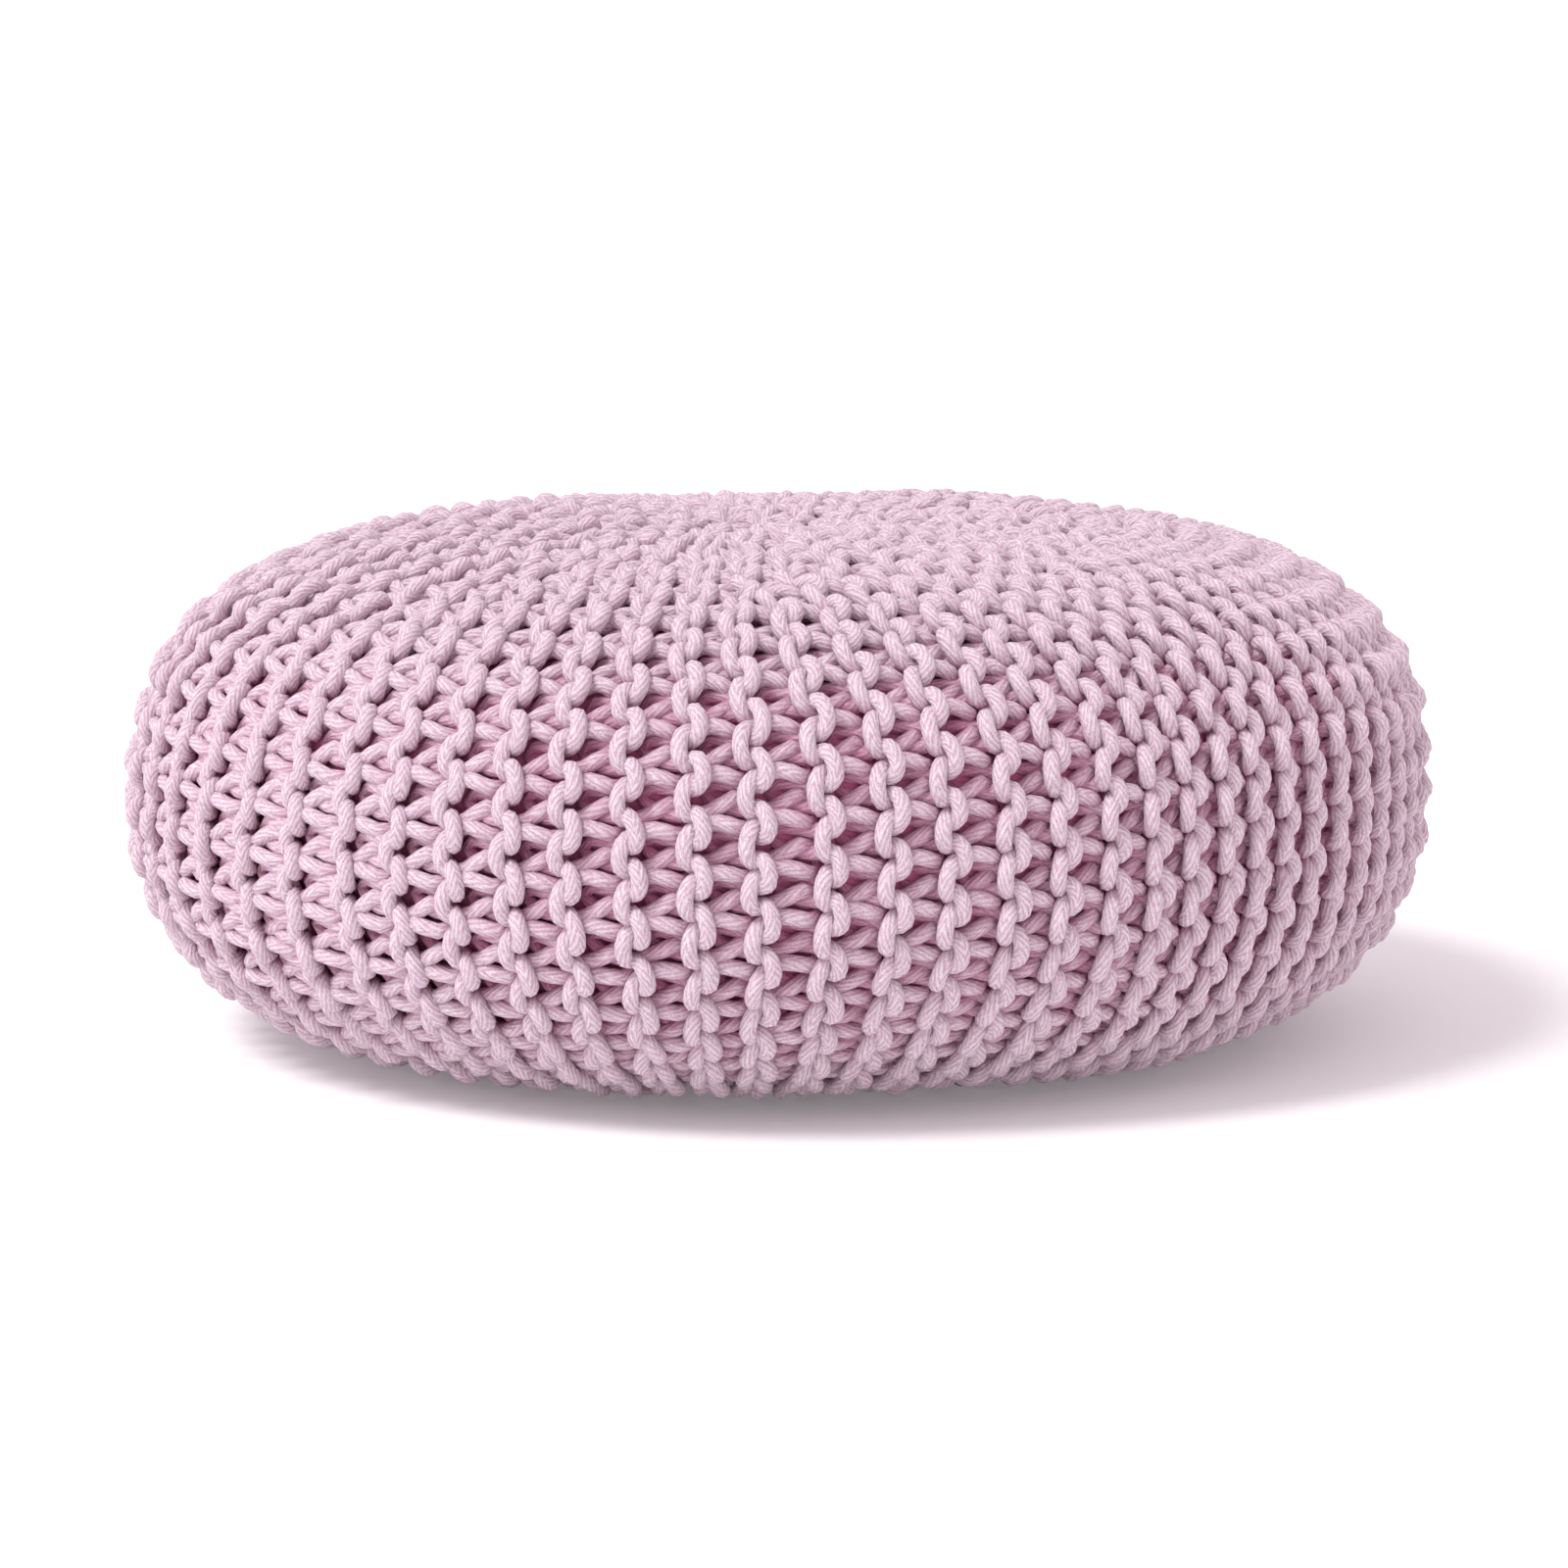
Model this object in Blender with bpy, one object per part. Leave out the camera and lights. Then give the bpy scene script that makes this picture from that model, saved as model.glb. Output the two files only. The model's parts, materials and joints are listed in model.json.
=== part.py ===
"""Knitted floor pouf: one filled body with its crown, rounded side, drawn-in poles and knit ridges.

The cover is garter stitch turned on its side, so its ridges run from the crown to the base. Here the
ridges are shallow ribs, and the single stitches are left out. Metres, +Z up, resting on Z = 0.
"""

import math

import bmesh
import bpy
from mathutils import Matrix, Vector

# Driving sizes
RADIUS = 0.350  # axis to the ridge crests, at the widest level
HEIGHT = 0.280  # resting face to the top of the crown
WIDEST_LEVEL = 0.119  # height of the widest level above the resting face

# Side curve, a superellipse above the widest level and another below it
CROWN_FLATNESS = 2.9
CROWN_FULLNESS = 4.0
BASE_FLATNESS = 1.7
BASE_FULLNESS = 6.0
SETTLED_DEPTH = 0.003  # how far the filling's weight presses the base flat

# Knit ridges
RIDGES = 72
RIDGE_DEPTH = 0.0045
RIDGE_FADE_INNER = 0.11  # from the axis: ridges are gathered away inside this distance
RIDGE_FADE_OUTER = 0.23  # from the axis: ridges have their full depth beyond this distance
RIDGE_LEAN = math.radians(5.0)  # the top of a ridge lies this far round from its foot
BUNCHING = 0.28  # share by which the ridges crowd together on the +X side and spread on the -X side

# Crown gather
GATHER_DEPTH = 0.009
GATHER_RADIUS = 0.050

# Hand-made unevenness of the outline
OVALITY = 0.004
OVALITY_ANGLE = math.radians(35.0)
LOBING = 0.0025
LOBING_ANGLE = math.radians(10.0)

# Facets
LEVELS = 27  # bands from the crown to the base
COLUMNS_PER_RIDGE = 2  # one column on the crest, one in the valley
MERGE_DISTANCE = 1e-5

COTTON_PINK = (0.74, 0.53, 0.63, 1.0)


def clear_scene():
    for old in list(bpy.data.objects):
        bpy.data.objects.remove(old, do_unlink=True)


def smooth_step(low, high, value):
    part = min(max((value - low) / (high - low), 0.0), 1.0)
    return part * part * (3.0 - 2.0 * part)


def side_point(angle):
    """Distance from the axis and height of the side curve, for an angle from -90 to 90 degrees."""
    above = angle > 0.0
    flatness = CROWN_FLATNESS if above else BASE_FLATNESS
    fullness = CROWN_FULLNESS if above else BASE_FULLNESS
    rise = HEIGHT - WIDEST_LEVEL if above else WIDEST_LEVEL + SETTLED_DEPTH
    distance = RADIUS * max(math.cos(angle), 0.0) ** (2.0 / fullness)
    offset = math.copysign(rise * abs(math.sin(angle)) ** (2.0 / flatness), angle)
    height = max(WIDEST_LEVEL + offset, 0.0)
    return distance, height - GATHER_DEPTH * above * math.exp(-((distance / GATHER_RADIUS) ** 2))


def side_curve():
    """LEVELS + 1 points from the crown's centre to the base's centre, evenly spaced along the curve."""
    fine = 3000
    points = [side_point(math.pi * (0.5 - step / fine)) for step in range(fine + 1)]
    along = [0.0]
    for before, after in zip(points, points[1:]):
        along.append(along[-1] + math.dist(before, after))
    even = []
    place = 0
    for level in range(LEVELS + 1):
        wanted = along[-1] * level / LEVELS
        while place < fine and along[place] < wanted:
            place += 1
        even.append(points[place])
    even[0] = (0.0, even[0][1])
    even[-1] = (0.0, 0.0)
    return even


def turned_body():
    """The side curve spun once round the Z axis, with its poles closed."""
    body = bmesh.new()
    rim = [body.verts.new((distance, 0.0, height)) for distance, height in side_curve()]
    edges = [body.edges.new(pair) for pair in zip(rim, rim[1:])]
    bmesh.ops.spin(
        body,
        geom=rim + edges,
        axis=(0.0, 0.0, 1.0),
        cent=(0.0, 0.0, 0.0),
        angle=math.tau,
        steps=RIDGES * COLUMNS_PER_RIDGE,
        use_merge=True,
    )
    bmesh.ops.remove_doubles(body, verts=body.verts, dist=MERGE_DISTANCE)
    bmesh.ops.recalc_face_normals(body, faces=body.faces)
    return body


def press_valleys(body):
    """Every second column goes inwards along the surface normal, which leaves a ridge between two valleys."""
    body.normal_update()
    column_angle = math.tau / (RIDGES * COLUMNS_PER_RIDGE)
    for vert in body.verts:
        distance = math.hypot(vert.co.x, vert.co.y)
        column = round(math.atan2(vert.co.y, vert.co.x) / column_angle)
        if column % COLUMNS_PER_RIDGE == 0 or vert.co.z < MERGE_DISTANCE:
            continue
        depth = RIDGE_DEPTH * smooth_step(RIDGE_FADE_INNER, RIDGE_FADE_OUTER, distance)
        vert.co -= vert.normal * depth


def shape_by_hand(body):
    """The ridges' bunching and lean, and an outline that is a little oval and lobed."""
    for vert in body.verts:
        angle = math.atan2(vert.co.y, vert.co.x)
        turn = RIDGE_LEAN * (vert.co.z / HEIGHT - 0.5) - BUNCHING * math.sin(angle)
        swell = OVALITY * math.cos(2.0 * (angle + turn - OVALITY_ANGLE))
        swell += LOBING * math.cos(4.0 * (angle + turn - LOBING_ANGLE))
        across = Matrix.Rotation(turn, 3, "Z") @ Vector((vert.co.x, vert.co.y, 0.0))
        vert.co.x = across.x * (1.0 + swell)
        vert.co.y = across.y * (1.0 + swell)


def cotton():
    material = bpy.data.materials.new("cotton_knit")
    material.use_nodes = True
    shader = material.node_tree.nodes["Principled BSDF"]
    shader.inputs["Base Color"].default_value = COTTON_PINK
    shader.inputs["Roughness"].default_value = 0.9
    shader.inputs["Metallic"].default_value = 0.0
    return material


def make_pouf():
    body = turned_body()
    press_valleys(body)
    shape_by_hand(body)
    mesh = bpy.data.meshes.new("knitted_pouf")
    body.to_mesh(mesh)
    body.free()
    mesh.shade_smooth()
    mesh.materials.append(cotton())
    pouf = bpy.data.objects.new("knitted_pouf", mesh)
    bpy.context.scene.collection.objects.link(pouf)


clear_scene()
make_pouf()
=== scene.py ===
"""Knitted floor pouf: garter stitch in cotton cord, stretched over a stuffed body.

The knit is worked sideways, so its ridges run from the crown to the base. Each stitch is one way of the
cord that repeats along its row, and the rows of loops are laid round the stuffed form. Metres, +Z up,
the side that shows towards -Y.
"""

import enum
import json
import logging
import math
from dataclasses import dataclass, field
from typing import NamedTuple

import bmesh
import bpy
import numpy as np
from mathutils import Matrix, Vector

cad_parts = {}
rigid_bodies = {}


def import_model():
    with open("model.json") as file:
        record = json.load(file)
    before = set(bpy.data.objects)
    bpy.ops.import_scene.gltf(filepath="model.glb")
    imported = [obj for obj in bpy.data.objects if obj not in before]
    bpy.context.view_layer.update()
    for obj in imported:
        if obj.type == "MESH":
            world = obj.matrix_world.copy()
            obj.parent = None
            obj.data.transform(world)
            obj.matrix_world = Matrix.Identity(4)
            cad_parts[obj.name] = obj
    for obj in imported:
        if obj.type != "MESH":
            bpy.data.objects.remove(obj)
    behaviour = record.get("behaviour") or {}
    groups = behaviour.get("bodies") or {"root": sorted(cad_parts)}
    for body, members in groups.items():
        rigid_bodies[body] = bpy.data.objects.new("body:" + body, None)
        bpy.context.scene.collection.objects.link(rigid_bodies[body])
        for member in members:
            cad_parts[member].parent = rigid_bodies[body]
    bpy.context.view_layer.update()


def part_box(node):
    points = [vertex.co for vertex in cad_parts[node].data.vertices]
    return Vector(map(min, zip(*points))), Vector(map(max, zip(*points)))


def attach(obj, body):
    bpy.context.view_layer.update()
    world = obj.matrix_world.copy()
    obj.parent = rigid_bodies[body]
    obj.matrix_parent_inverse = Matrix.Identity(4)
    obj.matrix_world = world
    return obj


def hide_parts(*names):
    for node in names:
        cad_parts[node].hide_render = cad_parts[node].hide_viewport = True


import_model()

log = logging.getLogger("pouf")

NODE = "knitted_pouf"
BODY = "root"
CORD_MAP = "cord_run"  # UV map: metres along the cord, share of a turn round it
STRIP_MAP = "OFBake"  # UV map: each row's cord as a strip of its own
# the lift attribute is also the mask of the cord's painted shade
LIFT_MAP = "lift"  # attribute: height above the middle of the fabric, in cord diameters
TAU = math.tau
CORD_SHARE = 0.0226  # the cord's diameter, as a share of the pouf's radius
COVER_DEPTH = 1.55  # from the ridges' outline to the middle of the fabric, in cord diameters


class Side(enum.Enum):
    """The two ends that the rows run between."""

    CROWN = "crown"
    BASE = "base"


class Face(enum.Enum):
    """How a row looks from outside: purl rows start a ridge, and knit rows end one."""

    PURL = 1
    KNIT = -1


# ---------------------------------------------------------------- shader maths


class Term:
    """A shader value that takes part in sums and products, each of which adds a Math node."""

    def __init__(self, bench: "Bench", socket: bpy.types.NodeSocket) -> None:
        """Wraps an output socket.

        Args:
            bench: The material's nodes.
            socket: The output that holds the value.
        """
        self.bench = bench
        self.socket = socket

    def _math(self, operation: str, *values: "Term | float") -> "Term":
        """Adds one Math node over the values."""
        node = self.bench.node("ShaderNodeMath", {"operation": operation}, dict(enumerate(values)))
        return Term(self.bench, node.outputs[0])

    def __add__(self, other: "Term | float") -> "Term":
        """Sum."""
        return self._math("ADD", self, other)

    def __radd__(self, other: float) -> "Term":
        """Sum, with the number first."""
        return self._math("ADD", other, self)

    def __sub__(self, other: "Term | float") -> "Term":
        """Difference."""
        return self._math("SUBTRACT", self, other)

    def __rsub__(self, other: float) -> "Term":
        """Difference, with the number first."""
        return self._math("SUBTRACT", other, self)

    def __mul__(self, other: "Term | float") -> "Term":
        """Product."""
        return self._math("MULTIPLY", self, other)

    def __rmul__(self, other: float) -> "Term":
        """Product, with the number first."""
        return self._math("MULTIPLY", other, self)

    def sine(self) -> "Term":
        """Sine of the value in radians."""
        return self._math("SINE", self)

    def cosine(self) -> "Term":
        """Cosine of the value in radians."""
        return self._math("COSINE", self)

    def zigzag(self) -> "Term":
        """Rises and falls evenly between 0 and 1, once every two units."""
        return self._math("PINGPONG", self, 1.0)

    def between(self, low: float, high: float) -> "Term":
        """Smooth step: 0 below low, 1 above high.

        Args:
            low: Where the step starts.
            high: Where the step ends.

        Returns:
            The step's value, from 0 to 1.
        """
        settings = {"interpolation_type": "SMOOTHSTEP"}
        sockets = {0: self, 1: low, 2: high, 3: 0.0, 4: 1.0}
        node = self.bench.node("ShaderNodeMapRange", settings, sockets)
        return Term(self.bench, node.outputs[0])


class Bench:
    """The node tree of one new material, and its Principled shader."""

    def __init__(self, name: str) -> None:
        """Starts a material.

        Args:
            name: The material's name.
        """
        self.material = bpy.data.materials.new(name)
        self.material.use_nodes = True
        self.nodes = self.material.node_tree.nodes
        self.links = self.material.node_tree.links
        self.shader = self.nodes["Principled BSDF"]

    def node(
        self, kind: str, settings: dict | None = None, sockets: dict | None = None
    ) -> bpy.types.Node:
        """Adds a node.

        Args:
            kind: The node's type.
            settings: Properties of the node, set first.
            sockets: Values or links of its inputs, by name or number.

        Returns:
            The new node.
        """
        made = self.nodes.new(kind)
        for key, value in (settings or {}).items():
            setattr(made, key, value)
        for key, value in (sockets or {}).items():
            self.feed(made.inputs[key], value)
        return made

    def feed(self, target: bpy.types.NodeSocket, value: object) -> None:
        """Links an output to an input, or sets the input's own value.

        Args:
            target: The input.
            value: A Term, an output socket, a number or a tuple.
        """
        if isinstance(value, Term):
            value = value.socket
        if isinstance(value, bpy.types.NodeSocket):
            self.links.new(value, target)
        else:
            target.default_value = value

    def term(self, node: bpy.types.Node, output: int | str = 0) -> Term:
        """The output of a node as a Term."""
        return Term(self, node.outputs[output])

    def join(self, x: object, y: object, z: object) -> bpy.types.NodeSocket:
        """A vector of three values."""
        return self.node("ShaderNodeCombineXYZ", None, {0: x, 1: y, 2: z}).outputs[0]

    def tint(self, share: object, first: object, second: object) -> bpy.types.NodeSocket:
        """A colour between two others.

        Args:
            share: How much of the second colour is taken.
            first: The first colour.
            second: The second colour.

        Returns:
            The colour output.
        """
        settings = {"data_type": "RGBA", "blend_type": "MIX", "clamp_factor": True}
        made = self.node("ShaderNodeMix", settings, {0: share, 6: first, 7: second})
        return made.outputs[2]

    def grain(self, place: object, scale: float, detail: float = 2.0, rough: float = 0.55) -> Term:
        """Fine random variation, around one half.

        Args:
            place: The vector it is read at.
            scale: How many features there are in one unit.
            detail: How many finer layers are added.
            rough: The strength of the finer layers.

        Returns:
            The value, from 0 to 1.
        """
        sockets = {"Vector": place, "Scale": scale, "Detail": detail, "Roughness": rough}
        return self.term(self.node("ShaderNodeTexNoise", None, sockets), "Fac")

    def finish(self, **inputs: object) -> bpy.types.Material:
        """Feeds the Principled shader.

        Args:
            **inputs: The shader's inputs, with underscores for the spaces in their names.

        Returns:
            The material.
        """
        for key, value in inputs.items():
            self.feed(self.shader.inputs[key.replace("_", " ")], value)
        return self.material


# ---------------------------------------------------------------- finishes


@dataclass(frozen=True)
class Grain:
    """One kind of fine variation on a cord, drawn out along it."""

    lengthwise: float  # features in one cord diameter, as a share of those across
    scale: float
    detail: float
    rough: float = 0.55
    shift: float = 0.0  # moves it away from the others


@dataclass(frozen=True)
class CottonCord:
    """Soft cotton cord: plies in long chevrons, matte and hairy, with short dark flecks lying along it.

    Colours are paler on the outside of the cover and deeper inside it: painted shade, which darkens and
    saturates the cord the deeper it lies in the fabric.
    """

    diameter: float
    pale: tuple[float, float, float, float] = (0.835, 0.783, 0.824, 1.0)
    rose: tuple[float, float, float, float] = (0.56, 0.320, 0.430, 1.0)
    # painted shade: darker, more saturated copies of pale and rose, taken where the cord lies deep in the
    # fabric
    painted_shade_pale: tuple[float, float, float, float] = (0.57, 0.225, 0.36, 1.0)
    painted_shade_rose: tuple[float, float, float, float] = (0.43, 0.10, 0.215, 1.0)
    fleck: tuple[float, float, float, float] = (0.22, 0.12, 0.18, 1.0)
    columns: int = 4  # columns of chevrons round the cord, an even number
    plies_a_column: float = 2.4
    plies_a_diameter: float = 1.3
    ply_wander: float = 1.2
    ply_drift: Grain = Grain(0.35, 1.6, 1.0)
    fibre_grain: Grain = Grain(0.26, 13.0, 3.0, 0.70)
    hair_grain: Grain = Grain(0.42, 26.0, 2.0, 0.65)
    fleck_grain: Grain = Grain(0.55, 22.0, 1.0, shift=3.0)
    fleck_range: tuple[float, float] = (0.60, 0.68)
    fleck_share: float = 0.72
    tone_shares: tuple[float, float, float] = (0.20, 0.70, 0.62)  # of plies, fibres and hairs
    tone_range: tuple[float, float] = (0.50, 1.02)
    # the painted shade fades out between these lifts, where the cord turns paler
    painted_shade_lifts: tuple[float, float] = (-0.65, 0.95)  # lifts between which the cord turns paler
    ply_height: float = 0.00034
    fibre_height: float = 0.00050
    hair_height: float = 0.000275

    def material(self) -> bpy.types.Material:
        """Builds the material, which reads the cord's own UV map and how far out each place lies.

        Returns:
            The material.
        """
        bench = Bench("cotton_cord")
        uv = bench.node("ShaderNodeUVMap", {"uv_map": CORD_MAP}).outputs[0]
        parts = bench.node("ShaderNodeSeparateXYZ", None, {0: uv})
        run = bench.term(parts, 0) * (1.0 / self.diameter)
        share = bench.term(parts, 1)
        # Round the cord the grain is read on a circle, so that it has no seam.
        turn = share * TAU
        round_x, round_y = turn.cosine() * 0.5, turn.sine() * 0.5

        def read(grain: Grain) -> Term:
            """The grain's value at each place on the cord."""
            place = bench.join(run * grain.lengthwise, round_x + grain.shift, round_y)
            return bench.grain(place, grain.scale, grain.detail, grain.rough)

        phase = (share * float(self.columns)).zigzag() * self.plies_a_column
        phase = phase + run * self.plies_a_diameter + read(self.ply_drift) * self.ply_wander
        plies = (phase * TAU).sine() * 0.5 + 0.5
        fibres, hairs = read(self.fibre_grain), read(self.hair_grain)
        flecks = read(self.fleck_grain).between(*self.fleck_range)
        # the lift is the painted shade's mask: the deeper the cord lies, the more it takes the painted
        # shade colours
        lift = bench.node("ShaderNodeAttribute", {"attribute_name": LIFT_MAP})
        outer = bench.term(lift, "Fac").between(*self.painted_shade_lifts)
        of_plies, of_fibres, of_hairs = self.tone_shares
        tone = (plies * of_plies + fibres * of_fibres + hairs * of_hairs).between(*self.tone_range)
        crest = bench.tint(tone, self.rose, self.pale)
        # painted shade: the cord's colour deep between the loops
        inside = bench.tint(tone, self.painted_shade_rose, self.painted_shade_pale)
        colour = bench.tint(flecks * self.fleck_share, bench.tint(outer, inside, crest), self.fleck)
        height = plies * self.ply_height + fibres * self.fibre_height + hairs * self.hair_height
        bump = bench.node("ShaderNodeBump", None, {"Height": height, "Strength": 1.0, "Distance": 1.0})
        return bench.finish(
            Base_Color=colour,
            Roughness=0.86 + fibres * 0.10,
            Normal=bump.outputs[0],
            Sheen_Weight=0.15,
            Sheen_Roughness=0.45,
            Sheen_Tint=(1.0, 0.93, 0.97, 1.0),
            Specular_IOR_Level=0.2,
        )


@dataclass(frozen=True)
class PaintedShadeCloth:
    """Painted shade between the loops: plain close cotton over the stuffing, coloured deep rose to stand
    in for the shade seen through the gaps.
    """

    # painted shade: both colours stand in for the shade between the loops, and are mixed at random
    colour: tuple[float, float, float, float] = (0.52, 0.13, 0.25, 1.0)
    paler_shade: tuple[float, float, float, float] = (0.60, 0.17, 0.31, 1.0)
    weave_rate: float = 1400.0  # how fast the threads' waves go, in radians a metre
    thread_height: float = 0.0002
    cloud_scale: float = 30.0

    def material(self) -> bpy.types.Material:
        """Builds the material, a fine plain weave on object coordinates.

        Returns:
            The material.
        """
        bench = Bench("painted_shade_cloth")
        place = bench.node("ShaderNodeTexCoord").outputs["Object"]
        parts = bench.node("ShaderNodeSeparateXYZ", None, {0: place})
        warp = (bench.term(parts, 0) * self.weave_rate).sine()
        weft = (bench.term(parts, 2) * self.weave_rate).sine()
        cloud = bench.grain(place, self.cloud_scale, 3.0)
        height = (warp * weft) * self.thread_height
        bump = bench.node("ShaderNodeBump", None, {"Height": height, "Distance": 1.0})
        # the base colour is painted shade, its clouds random
        return bench.finish(
            Base_Color=bench.tint(cloud.between(0.3, 0.7), self.colour, self.paler_shade),
            Roughness=0.9 + cloud * 0.05,
            Normal=bump.outputs[0],
            Specular_IOR_Level=0.2,
        )


@dataclass(frozen=True)
class StudioFloor:
    """Seamless pale studio floor, and the wall round it."""

    name: str = "studio_floor"
    colour: tuple[float, float, float, float] = (0.90, 0.90, 0.90, 1.0)
    glow: float = 0.12  # the floor is lit from below as well, as a light table is

    def material(self) -> bpy.types.Material:
        """Builds the material.

        Returns:
            The material.
        """
        bench = Bench(self.name)
        place = bench.node("ShaderNodeTexCoord").outputs["Object"]
        rough = bench.grain(place, 40.0, 2.0) * 0.05 + 0.75
        return bench.finish(
            Base_Color=self.colour,
            Roughness=rough,
            Specular_IOR_Level=0.1,
            Emission_Color=(1.0, 1.0, 1.0, 1.0),
            Emission_Strength=self.glow,
        )


# ---------------------------------------------------------------- the form


class Swell(NamedTuple):
    """One kind of unevenness of the stuffing."""

    size: float
    round_the_pouf: float  # waves in one turn
    start: float
    lean: float  # how the waves move round on their way down
    down_the_side: float  # half waves from pole to pole


class Stretch(NamedTuple):
    """Where something begins and ends round the pouf, and the angle over which it does so."""

    begin: float
    rise: float
    end: float
    fall: float

    def at(self, turn: np.ndarray) -> np.ndarray:
        """How much of it there is at each turn, from 0 to 1."""
        rising = smooth_step((turn - self.begin) / self.rise)
        return rising * (1.0 - smooth_step((turn - self.end) / self.fall))


def smooth_step(value: np.ndarray) -> np.ndarray:
    """Smooth rise from 0 to 1 while the value goes from 0 to 1."""
    part = np.clip(value, 0.0, 1.0)
    return part * part * (3.0 - 2.0 * part)


@dataclass
class PoufForm:
    """The stuffed shape that the cover is stretched over.

    A place on it is a turn round the axis, 0 at the front and growing to the right, and a run, the length
    along the side from the centre of the crown. It lies cover_depth inside the outline of the ridges.
    """

    radius: float
    height: float
    cover_depth: float
    widest_level: float = 0.119
    crown_flatness: float = 2.9
    crown_fullness: float = 4.0
    base_flatness: float = 1.7
    base_fullness: float = 6.0
    settled_depth: float = 0.003
    gather_depth: float = 0.010
    gather_radius: float = 0.045
    base_gather: float = 0.9  # how far the base is drawn in, as a share of gather_depth
    ovality: float = 0.004
    ovality_turn: float = math.radians(125.0)
    waviness: float = 0.0012
    swells: tuple[Swell, ...] = (
        Swell(1.0, 3.0, 1.3, 0.0, 2.0),
        Swell(0.8, 5.0, -0.6, 2.0, 1.0),
        Swell(0.6, 8.0, 2.2, -3.0, 1.0),
    )
    pole_shift: tuple[float, float] = (-0.0147, 0.003)  # of the rows' meeting point, beside the axis
    pole_reach: float = 0.16
    crown_shift: float = 0.0037  # how far the crown sits to one side of the base
    shift_rise: float = 0.10  # height over the widest level in which that shift grows
    steps: int = 4000
    run: np.ndarray = field(init=False)
    distance: np.ndarray = field(init=False)
    level: np.ndarray = field(init=False)
    out: np.ndarray = field(init=False)
    up: np.ndarray = field(init=False)

    def __post_init__(self) -> None:
        """Works out the side curve, once."""
        angle = np.linspace(0.5 * math.pi, -0.5 * math.pi, self.steps + 1)
        above = angle > 0.0
        flatness = np.where(above, self.crown_flatness, self.base_flatness)
        fullness = np.where(above, self.crown_fullness, self.base_fullness)
        rise = np.where(above, self.height - self.widest_level, self.widest_level + self.settled_depth)
        distance = self.radius * np.maximum(np.cos(angle), 0.0) ** (2.0 / fullness)
        swing = np.sign(angle) * rise * np.abs(np.sin(angle)) ** (2.0 / flatness)
        level = np.maximum(self.widest_level + swing, 0.0)
        even = np.linspace(0.0, 1.0, self.steps + 1)
        for spaced in (False, True):  # evenly spaced, then moved inwards, then evenly spaced again
            length = np.concatenate([[0.0], np.cumsum(np.hypot(np.diff(distance), np.diff(level)))])
            distance = np.interp(even * length[-1], length, distance)
            level = np.interp(even * length[-1], length, level)
            if not spaced:
                across, rise = self._normal(distance, level)
                distance = np.maximum(distance - across * self.cover_depth, 0.0)
                level = level - rise * self.cover_depth
        drawn = np.exp(-((distance / self.gather_radius) ** 2))
        inwards = 2.0 * smooth_step(level / self.height) - self.base_gather
        level = level - self.gather_depth * drawn * inwards
        self.distance, self.level = distance, level
        self.run = even * length[-1]
        self.out, self.up = self._normal(distance, level)

    @staticmethod
    def _normal(distance: np.ndarray, level: np.ndarray) -> tuple[np.ndarray, np.ndarray]:
        """The outward normal of a side curve, as its parts away from the axis and up."""
        along_out, along_up = np.gradient(distance), np.gradient(level)
        size = np.maximum(np.hypot(along_out, along_up), 1e-12)
        return -along_up / size, along_out / size

    @property
    def length(self) -> float:
        """The length of the side curve from pole to pole."""
        return float(self.run[-1])

    def girth_radius(self, run: np.ndarray) -> np.ndarray:
        """Distance from the axis at each run."""
        return np.interp(run, self.run, self.distance)

    def _swell(self, turn: np.ndarray) -> np.ndarray:
        """How much wider than round the pouf is at each turn, as a factor."""
        return 1.0 + self.ovality * np.cos(2.0 * (turn - self.ovality_turn))

    def unevenness(self, turn: np.ndarray, run: np.ndarray) -> np.ndarray:
        """Slow hand-made swelling and slackness of the stuffing.

        Args:
            turn: Angle round the axis from the front.
            run: Length along the side from the crown.

        Returns:
            Heights to add to the form, in metres.
        """
        share = run / self.length * math.pi
        wave = 0.0
        for swell in self.swells:
            place = swell.round_the_pouf * turn + swell.start + swell.lean * share
            wave = wave + swell.size * np.sin(place) * np.sin(swell.down_the_side * share)
        return self.waviness * wave

    def place(self, turn: np.ndarray, run: np.ndarray, lift: np.ndarray) -> np.ndarray:
        """Points above the form.

        Args:
            turn: Angle round the axis from the front.
            run: Length along the side from the crown.
            lift: Height above the form, along its normal.

        Returns:
            An array of points.
        """
        out = np.interp(run, self.run, self.out)
        up = np.interp(run, self.run, self.up)
        rise = lift + self.unevenness(turn, run)
        distance = np.interp(run, self.run, self.distance) + out * rise
        level = np.interp(run, self.run, self.level) + up * rise
        distance = distance * self._swell(turn)
        near = np.exp(-((run / self.pole_reach) ** 2))
        across = distance * np.sin(turn) + self.pole_shift[0] * near
        across = across + self.crown_shift * smooth_step((level - self.widest_level) / self.shift_rise)
        return np.stack([across, self.pole_shift[1] * near - distance * np.cos(turn), level], axis=-1)

    def lift(self, points: np.ndarray) -> np.ndarray:
        """Height of points above the form, along its normal.

        Args:
            points: An array of points.

        Returns:
            One height a point.
        """
        rise = self.level - self.widest_level
        angle = np.arctan2(rise, self.distance)[::-1]
        facing = self.out[::-1] * np.cos(angle) + self.up[::-1] * np.sin(angle)
        reach = np.hypot(rise, self.distance)[::-1]
        height = points[:, 2] - self.widest_level
        top = smooth_step(height / self.shift_rise)
        near = top * np.exp(-((np.hypot(points[:, 0], points[:, 1]) / self.pole_reach) ** 2))
        across = points[:, 0] - self.crown_shift * top - self.pole_shift[0] * near
        along = points[:, 1] - self.pole_shift[1] * near
        turn = np.arctan2(across, -along)
        distance = np.hypot(across, along) / self._swell(turn)
        own = np.arctan2(height, distance)
        over = np.hypot(height, distance) - np.interp(own, angle, reach)
        over = over * np.interp(own, angle, facing)
        return over - self.unevenness(turn, np.interp(own, angle, self.run[::-1]))


# ---------------------------------------------------------------- the stitch


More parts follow.
